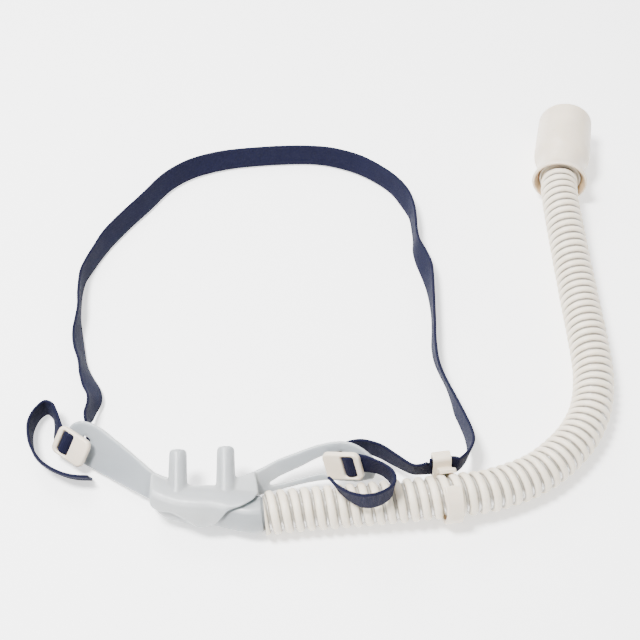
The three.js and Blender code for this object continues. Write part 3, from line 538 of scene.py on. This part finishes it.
# Each row is a place, the lean of the strap's width direction and, where it isn't full, its width
STRAP_LEFT_TAIL = [
    (-63.8, -76.2, 4.9, 0, -0.40),
    (-70.0, -75.8, 4.9, 0, -0.40),
    (-77.0, -73.5, 4.9, 0, -0.38),
    (-83.6, -69.3, 5.0, -0.05, -0.28),
    (-88.2, -63.6, 5.2, 0, -0.08),
    (-90.4, -57.6, 5.2, 0, 0),
    (-90.8, -51.4, 5.2, 0, 0),
    (-89.0, -45.8, 5.2, 0, -0.1),
    (-86.0, -43.0, 5.3, 0, 0),
    (-83.0, -44.6, 5.6, 0.02, 0.2, 9.8),
    (-80.8, -49.2, 6.6, 0.05, 0.45, 9.0),
]
STRAP_RUN = [
    (-66.8, -57.2, 4.7, 0, 0.38, 8.2),
    (-67.2, -52.5, 5.9, -0.08, 0.3, 8.6),
    (-67.6, -49.1, 7.5, -0.15, 0.2, 9.2),
    (-67.1, -45.1, 7.0, -0.12, 0.1),
    (-66.7, -41.0, 6.6, -0.34, 0.0),
    (-67.0, -37.2, 6.0, -0.62, 0.0),
    (-68.5, -33.0, 5.5, -0.72, 0.0),
    (-71.0, -27.6, 5.2, -0.54, -0.05),
    (-73.7, -20.4, 5.2, -0.24, -0.1),
    (-76.1, -13.3, 5.2, -0.33, -0.1),
    (-77.6, -6.3, 5.2, -0.31, -0.05),
    (-78.4, 0.7, 5.2, -0.11, 0.0),
    (-79.0, 7.7, 5.2, 0.08, 0.0),
    (-79.8, 14.7, 5.2, 0.05, 0.0),
    (-80.2, 21.7, 5.2, 0.03, 0.0),
    (-79.8, 29.0, 5.2, -0.06, 0.0),
    (-77.6, 36.5, 5.0, -0.16, 0.0),
    (-74.9, 43.5, 5.0, -0.20, 0.05),
    (-71.4, 51.6, 5.0, -0.33, 0.12),
    (-64.7, 62.6, 5.0, -0.35, 0.17),
    (-56.0, 75.1, 5.0, -0.31, 0.28),
    (-46.6, 89.0, 5.0, -0.27, 0.36),
    (-36.9, 97.3, 4.9, -0.22, 0.45),
    (-27.1, 101.9, 4.8, -0.16, 0.50),
    (-16.9, 104.7, 4.8, -0.08, 0.47),
    (-7.0, 106.2, 4.8, -0.07, 0.42),
    (2.8, 107.2, 4.8, -0.07, 0.42),
    (12.9, 107.8, 4.8, -0.04, 0.40),
    (23.0, 107.6, 4.9, 0.0, 0.38),
    (32.4, 106.2, 4.9, 0.1, 0.42),
    (44.5, 101.7, 4.9, 0.2, 0.40),
    (53.8, 95.4, 5.0, 0.27, 0.25),
    (62.7, 86.6, 5.0, 0.34, 0.10),
    (67.6, 78.0, 5.0, 0.40, 0.02),
    (70.5, 69.0, 5.1, 0.16, 0.0),
    (71.1, 61.3, 5.1, 0.12, 0.0),
    (71.3, 54.3, 5.1, 0.07, 0.0),
    (71.5, 47.3, 5.1, 0.22, 0.0),
    (73.4, 40.3, 4.8, 0.46, 0.0),
    (75.3, 33.3, 4.8, 0.46, 0.0),
    (76.3, 26.3, 5.0, 0.28, 0.0),
    (76.7, 19.3, 5.2, 0.13, 0.0),
    (76.9, 12.3, 5.2, 0.04, 0.0),
    (76.8, 5.3, 5.2, 0.01, 0.0),
    (76.5, -1.7, 5.2, 0.03, 0.0),
    (76.1, -8.7, 5.2, 0.05, 0.0),
    (76.4, -15.7, 5.2, 0.0, 0.0),
    (77.6, -22.7, 5.2, -0.15, 0.0),
    (79.7, -29.7, 5.2, -0.22, 0.0),
    (81.7, -36.7, 5.4, -0.12, 0.0),
    (83.4, -43.7, 5.9, 0.06, 0.0),
    (85.3, -50.7, 6.9, 0.08, 0.0),
    (86.8, -57.8, 8.4, 0.12, 0.0),
    (86.9, -64.6, 10.3, 0.16, 0.0),
    (84.4, -71.0, 12.4, 0.12, 0.0, 9.4),
    (80.6, -75.4, 13.9, 0.05, 0.1, 8.6),
]
STRAP_CLIP_TO_ARM = [
    (70.4, -76.8, 14.2, -0.02, 0.1, 8.4),
    (64.0, -76.8, 12.4, 0.0, -0.20, 9.4),
    (57.4, -72.2, 11.2, 0.0, -0.10),
    (51.0, -67.4, 10.6, 0.0, 0.02),
    (45.4, -65.2, 10.4, 0.0, 0.0, 9.6),
    (41.4, -65.4, 10.4, 0.0, 0.2, 9.0),
    (36.6, -67.0, 10.4, -0.05, 0.35, 8.2),
    (32.4, -69.4, 10.6, -0.1, 0.4, 7.8),
    (30.5, -72.2, 12.0, -0.2, 0.45, 6.8),
    (30.6, -74.8, 14.4, -0.23, 0.45, 7.0),
]
STRAP_RIGHT_TAIL = [
    (47.4, -81.0, 22.2, -0.15, 0.08, 9.0),
    (51.2, -83.6, 23.2, -0.05, 0.02, 9.2),
    (54.2, -87.4, 23.8, 0.05, 0.0, 9.6),
    (54.2, -92.0, 23.9, 0.10, 0.0),
    (49.8, -96.0, 23.9, 0.02, 0.0),
    (43.6, -97.2, 23.7, 0, -0.02),
    (38.4, -95.2, 23.4, -0.05, -0.2),
    (34.2, -91.6, 22.8, 0.0, -0.4),
    (31.8, -88.2, 22.2, 0.0, -0.55),
]

CLEARANCE = 0.3
BUCKLE_THICKNESS = 2.5
WINDOW_INNER = 0.1
WINDOW_OUTER = 5.5
BAR_CENTRE = (WINDOW_INNER + WINDOW_OUTER) / 2
BAR_HEIGHT = 0.8
BAR_LIFT = 0.1
LEFT_SLOT = -2.4

# Stations in a buckle: how far outward from its origin, and how high over the plate's middle plane
TO_LEFT_SLOT = [(-1.1, -2.5), (LEFT_SLOT + 0.2, -3.8), (LEFT_SLOT, -6.6)]
TO_RIGHT_BUCKLE = (-2.6, -2.4)
UNDER_PLATE = -(BUCKLE_THICKNESS + STRAP_THICKNESS) / 2 - CLEARANCE
BAR_TOP = BAR_LIFT + BAR_HEIGHT - BUCKLE_THICKNESS / 2
OVER_BAR = BAR_TOP + STRAP_THICKNESS / 2 + 2 * CLEARANCE
THROUGH_BUCKLE = [
    (WINDOW_INNER + 0.1, UNDER_PLATE + 0.2),
    (WINDOW_INNER + 0.75, BAR_TOP + 0.3),
    (BAR_CENTRE, OVER_BAR),
    (WINDOW_OUTER - 0.75, BAR_TOP + 0.3),
    (WINDOW_OUTER - 0.1, UNDER_PLATE + 0.2),
    (WINDOW_OUTER + 2.4, UNDER_PLATE),
]
CLIP_PLACE = np.array([77.0, -87.7, 11.0])
CLIP_AHEAD = unit(np.array([0.99, 0.14, 0.0]))
CLIP_UP = np.array([0.0, 0.0, 1.0])
CLIP_BACK = np.cross(CLIP_UP, CLIP_AHEAD)
LOOP_BACK = 12.0
LOOP_RISE = 3.4
LOOP_LEAN = math.radians(12)
LOOP_STOPS = (3.4, -1.4, -6.2)


def buckle_frame(origin, outward, upward, hand):
    """A buckle's origin, its outward and up directions and the way its face looks."""
    x = unit(np.array(outward))
    up = unit(np.array(upward) - np.dot(upward, x) * x)
    return np.array(origin), x, up, hand * np.cross(x, up)


LEFT_BUCKLE = buckle_frame(
    [-72.0, -64.3, 9.3], outward=[-0.82, 0.57, 0.03], upward=[0.10, 0.73, 0.68], hand=-1
)
RIGHT_BUCKLE = buckle_frame(
    [35.9, -79.0, 18.7], outward=[0.875, -0.273, 0.399], upward=[-0.249, 0.452, 0.856], hand=1
)


def strap_station(x, y, z, lean_x, lean_y, width=STRAP_WIDTH):
    """A row of middle, width direction and width, as one list of seven numbers."""
    return [x, y, z, lean_x, lean_y, math.sqrt(1 - lean_x**2 - lean_y**2), width]


def on_buckle(buckle, x, z):
    """A station where the buckle holds the strap, spread to the window's ends in the window."""
    origin, outward, up, face = buckle
    width = STRAP_IN_WINDOW if WINDOW_INNER < x < WINDOW_OUTER else STRAP_GATHERED
    return [*(origin + outward * x + face * z), *up, width]


def on_loop(along):
    """A station in the clip's strap loop."""
    cross = CLIP_UP * math.cos(LOOP_LEAN) + CLIP_BACK * math.sin(LOOP_LEAN)
    middle = CLIP_PLACE + CLIP_BACK * LOOP_BACK + CLIP_UP * LOOP_RISE + CLIP_AHEAD * along
    return [*middle, *cross, STRAP_GATHERED]


def strap_stations():
    """The strap's whole way, from the left tail's tip to the right tail's tip."""
    return np.array(
        [strap_station(*row) for row in STRAP_LEFT_TAIL]
        + [on_buckle(LEFT_BUCKLE, x, z) for x, z in reversed(THROUGH_BUCKLE)]
        + [on_buckle(LEFT_BUCKLE, x, z) for x, z in TO_LEFT_SLOT]
        + [strap_station(*row) for row in STRAP_RUN]
        + [on_loop(along) for along in LOOP_STOPS]
        + [strap_station(*row) for row in STRAP_CLIP_TO_ARM]
        + [on_buckle(RIGHT_BUCKLE, *TO_RIGHT_BUCKLE)]
        + [on_buckle(RIGHT_BUCKLE, x, z) for x, z in THROUGH_BUCKLE]
        + [strap_station(*row) for row in STRAP_RIGHT_TAIL]
    )


def strap_section():
    """Outline of the webbing's section: flat faces, full round edges, slightly thicker selvedges.

    Each entry is a share of the half width, a share of the thickness and how far it bulges.
    """
    outline = []
    for side in (1, -1):
        for share in side * np.linspace(-1, 1, STRAP_COLUMNS):
            extra = SELVEDGE_EXTRA * (abs(share) > SELVEDGE_FROM)
            outline.append((share, side * 0.5 * (1.0 + extra), 0.0))
        for turn in np.linspace(0, math.pi, EDGE_STEPS + 2)[1:-1]:
            outline.append((side * 1.0, side * 0.5 * math.cos(turn), side * math.sin(turn)))
    return outline


def eased(rows, reach):
    """Rows averaged with their neighbours along the strap."""
    weights = np.hanning(2 * reach + 3)[1:-1]
    weights /= weights.sum()
    padded = np.vstack([np.repeat(rows[:1], reach, 0), rows, np.repeat(rows[-1:], reach, 0)])
    return np.stack([np.convolve(padded[:, k], weights, "valid") for k in range(rows.shape[1])], 1)


def build_strap():
    """The navy head strap, from the tail on the left buckle round to the right one."""
    stations = strap_stations()
    rows = smooth_line(stations, STRAP_ROWS)
    line, cross, width = rows[:, :3], rows[:, 3:6], rows[:, 6]
    ahead = tangents(line)
    cross = eased(cross, LEAN_EASING)
    cross = unit(cross - (cross * ahead).sum(1)[:, None] * ahead)
    face = np.cross(cross, ahead)
    length = run_length(line)
    along = np.linspace(0, length, len(line))
    outline = strap_section()
    vertices = []
    for i, s in enumerate(along):
        cupping = CUPPING * noise(Vector((s * CUPPING_ALONG, 0.0, 4.0)))
        flutter = FLUTTER * noise(Vector((s * FLUTTER_ALONG, 9.0, 2.0)))
        reach = width[i] / 2 - STRAP_THICKNESS / 2 + flutter
        for share, height, bulge in outline:
            across = share * reach + bulge * STRAP_THICKNESS / 2
            lift = height * STRAP_THICKNESS + cupping * (share**2 - CUPPING_LEVEL)
            vertices.append(line[i] + cross[i] * across + face[i] * lift)
    columns = len(outline)
    last = (len(line) - 1) * columns
    faces = ring_faces(len(line), columns)
    faces.append(tuple(reversed(range(columns))))
    faces.append(tuple(last + j for j in range(columns)))
    piece = new_mesh("strap_webbing", metres(vertices), faces)
    uv = piece.data.uv_layers.new(name="along")
    places = [share * width.mean() / 2 for share, _, _ in outline]
    for loop in piece.data.loops:
        row, column = divmod(loop.vertex_index, columns)
        uv.data[loop.index].uv = (along[row], places[column])
    piece.data.materials.append(WEBBING)
    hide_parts("head_strap")
    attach(piece, "cannula")


# Floor and light

FLOOR_HALF = 4.0
FLOOR_LEVEL = -0.0004
FLOOR_GLOW = 0.9
SKY_STRENGTH = 1.25
SKY_STOPS = [(0.15, 0.55), (0.85, 1.0)]
LIGHT_TARGET = (0.02, 0.0, 0.0)


def add_floor():
    """A pale floor with a faint glow, like the photograph's light table."""
    mesh = bpy.data.meshes.new("floor")
    low, high = -FLOOR_HALF, FLOOR_HALF
    corners = [(low, low, 0), (high, low, 0), (high, high, 0), (low, high, 0)]
    mesh.from_pydata(corners, [], [(0, 1, 2, 3)])
    floor = bpy.data.objects.new("floor", mesh)
    bpy.context.collection.objects.link(floor)
    floor.location.z = FLOOR_LEVEL
    n = Nodes("pale_floor")
    n.set(Base_Color=(0.95, 0.95, 0.95, 1.0), Roughness=0.75, Specular_IOR_Level=0.2)
    n.set(Emission_Color=(1.0, 1.0, 1.0, 1.0), Emission_Strength=FLOOR_GLOW)
    mesh.materials.append(n.material)


def area_light(name, place, size, power):
    """A round soft light that looks at the middle of the object."""
    data = bpy.data.lights.new(name, "AREA")
    data.shape = "DISK"
    data.size = size
    data.energy = power
    light = bpy.data.objects.new(name, data)
    bpy.context.collection.objects.link(light)
    light.location = place
    direction = Vector(LIGHT_TARGET) - Vector(place)
    light.rotation_euler = direction.to_track_quat("-Z", "Y").to_euler()


def add_sky():
    """Even studio light from all round, stronger from above."""
    world = bpy.context.scene.world or bpy.data.worlds.new("world")
    bpy.context.scene.world = world
    world.use_nodes = True
    tree = world.node_tree
    background = tree.nodes["Background"]
    where = tree.nodes.new("ShaderNodeTexCoord")
    split = tree.nodes.new("ShaderNodeSeparateXYZ")
    ramp = tree.nodes.new("ShaderNodeValToRGB")
    tree.links.new(where.outputs["Generated"], split.inputs["Vector"])
    tree.links.new(split.outputs["Z"], ramp.inputs["Fac"])
    tree.links.new(ramp.outputs["Color"], background.inputs["Color"])
    for element, (at, grey) in zip(ramp.color_ramp.elements, SKY_STOPS):
        element.position = at
        element.color = (grey, grey, grey, 1.0)
    background.inputs["Strength"].default_value = SKY_STRENGTH


# Dressing the nodes


def finish_node(node, material):
    """Gives a node that stays as it is a better material."""
    piece = bpy.data.objects[node]
    piece.data.materials.clear()
    piece.data.materials.append(material)


RIGHT_SLOT = buckle_frame([30.6, -72.9, 12.3], outward=[1, -0.08, 0.05], upward=[0, 0.75, 0.66], hand=1)
SLOT_END_SIZES = (4.4, 3.0, 1.8)
SLOT_END_UP = 4.6


def slot_end():
    """The silicone that closes round the strap at the upper end of the right arm's slot."""
    origin, across, up, face = RIGHT_SLOT
    matrix = np.eye(4)
    for k, (axis, size) in enumerate(zip((across, up, face), SLOT_END_SIZES)):
        matrix[:3, k] = axis * size * MM
    matrix[:3, 3] = metres(origin + up * SLOT_END_UP)
    return Matrix(matrix.tolist())


def moulding(node, name, material, body, voxel, smoothing, added=()):
    """Replaces a node by a smooth copy with a material of its own."""
    piece = soft_copy(node, name, voxel, smoothing, added)
    piece.data.materials.append(material)
    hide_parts(node)
    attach(piece, body)
    return piece


# Where the silicone is milky, from 0 for a thin web to 1, and where that changes; at the arms' edges the
# level is painted edge light
SADDLE_FROM = -37.4
SADDLE_TO = 2.9
SADDLE_BLEND = 1.5
SADDLE_VEIL = 0.82
PRONG_VEIL = 0.5
PRONG_FROM = 13.0
PRONG_TO = 18.0
ARM_VEIL = 0.18
EDGE_PAINTED_LIGHT = 0.85
FLAT_FROM = 0.35
FLAT_TO = 0.9
EDGE_LIGHT_SPREAD = 8
MANIFOLD_VEIL = 0.25
MANIFOLD_END_VEIL = 0.75
MANIFOLD_END_FROM = -34.0
MANIFOLD_END_TO = -22.0
INWARD = -0.25
INWARD_SPREAD = 3


def paint_milk_and_edge_light(piece):
    """Milky saddle, clearer arms and prongs and painted edge light round the arms' edges, with soft
    changes between them.
    """
    points, normals = vertex_rows(piece)
    x = points[:, 0]
    left = np.abs(normals @ LEFT_BUCKLE[3])
    right = np.abs(normals @ RIGHT_BUCKLE[3])
    # Faces that turn away from the arm's plane, round its edges, get painted edge light.
    flat = step(np.where(x < SADDLE_FROM, left, right), FLAT_FROM, FLAT_TO)
    arm = EDGE_PAINTED_LIGHT + (ARM_VEIL - EDGE_PAINTED_LIGHT) * spread(piece, flat, EDGE_LIGHT_SPREAD)
    in_saddle = step(x, SADDLE_FROM - SADDLE_BLEND, SADDLE_FROM + SADDLE_BLEND)
    in_saddle *= 1 - step(x, SADDLE_TO - SADDLE_BLEND, SADDLE_TO + SADDLE_BLEND)
    prong = step(points[:, 2], PRONG_FROM, PRONG_TO)
    saddle = SADDLE_VEIL + (PRONG_VEIL - SADDLE_VEIL) * prong
    store(piece, "milk_and_edge_light", arm + (saddle - arm) * in_saddle)


def veil_manifold(piece):
    """A clear manifold that turns milky at its closed end."""
    points, _ = vertex_rows(piece)
    end = 1 - step(points[:, 0], MANIFOLD_END_FROM, MANIFOLD_END_TO)
    store(piece, "milk_and_edge_light", MANIFOLD_VEIL + (MANIFOLD_END_VEIL - MANIFOLD_VEIL) * end)


def shade_connector(piece):
    """Marks the faces that look in towards the connector's own axis, where shade is painted."""
    points, normals = vertex_rows(piece)
    from_start = points - CONNECTOR_START
    outward = from_start - (from_start @ CONNECTOR_AHEAD)[:, None] * CONNECTOR_AHEAD
    facing = (unit(outward) * normals).sum(1)
    store(piece, "inside", spread(piece, (facing < INWARD).astype(float), INWARD_SPREAD))


add_camera()
hose = build_hose()
cannula = moulding(
    "nasal_cannula", "silicone_cannula", SILICONE, "cannula", voxel=0.45, smoothing=10, added=[slot_end()]
)
paint_milk_and_edge_light(cannula)
manifold = moulding("manifold_elbow", "silicone_elbow", MANIFOLD, "cannula", voxel=0.4, smoothing=6)
veil_manifold(manifold)
build_strap()
moulding("buckle_left", "moulded_buckle_left", CREAM, "cannula", voxel=0.24, smoothing=3)
moulding("buckle_right", "moulded_buckle_right", CREAM, "cannula", voxel=0.24, smoothing=3)
moulding("tube_clip", "moulded_clip", CREAM, "cannula", voxel=0.26, smoothing=3)
finish_node("hose_cuff", CREAM)
connector = moulding("swivel_connector", "moulded_connector", CREAM, "connector", voxel=0.38, smoothing=3)
shade_connector(connector)
add_floor()
add_sky()
area_light("key", place=(-0.32, -0.12, 1.0), size=0.28, power=38.0)
area_light("back", place=(-0.35, 0.75, 0.9), size=0.6, power=10.0)
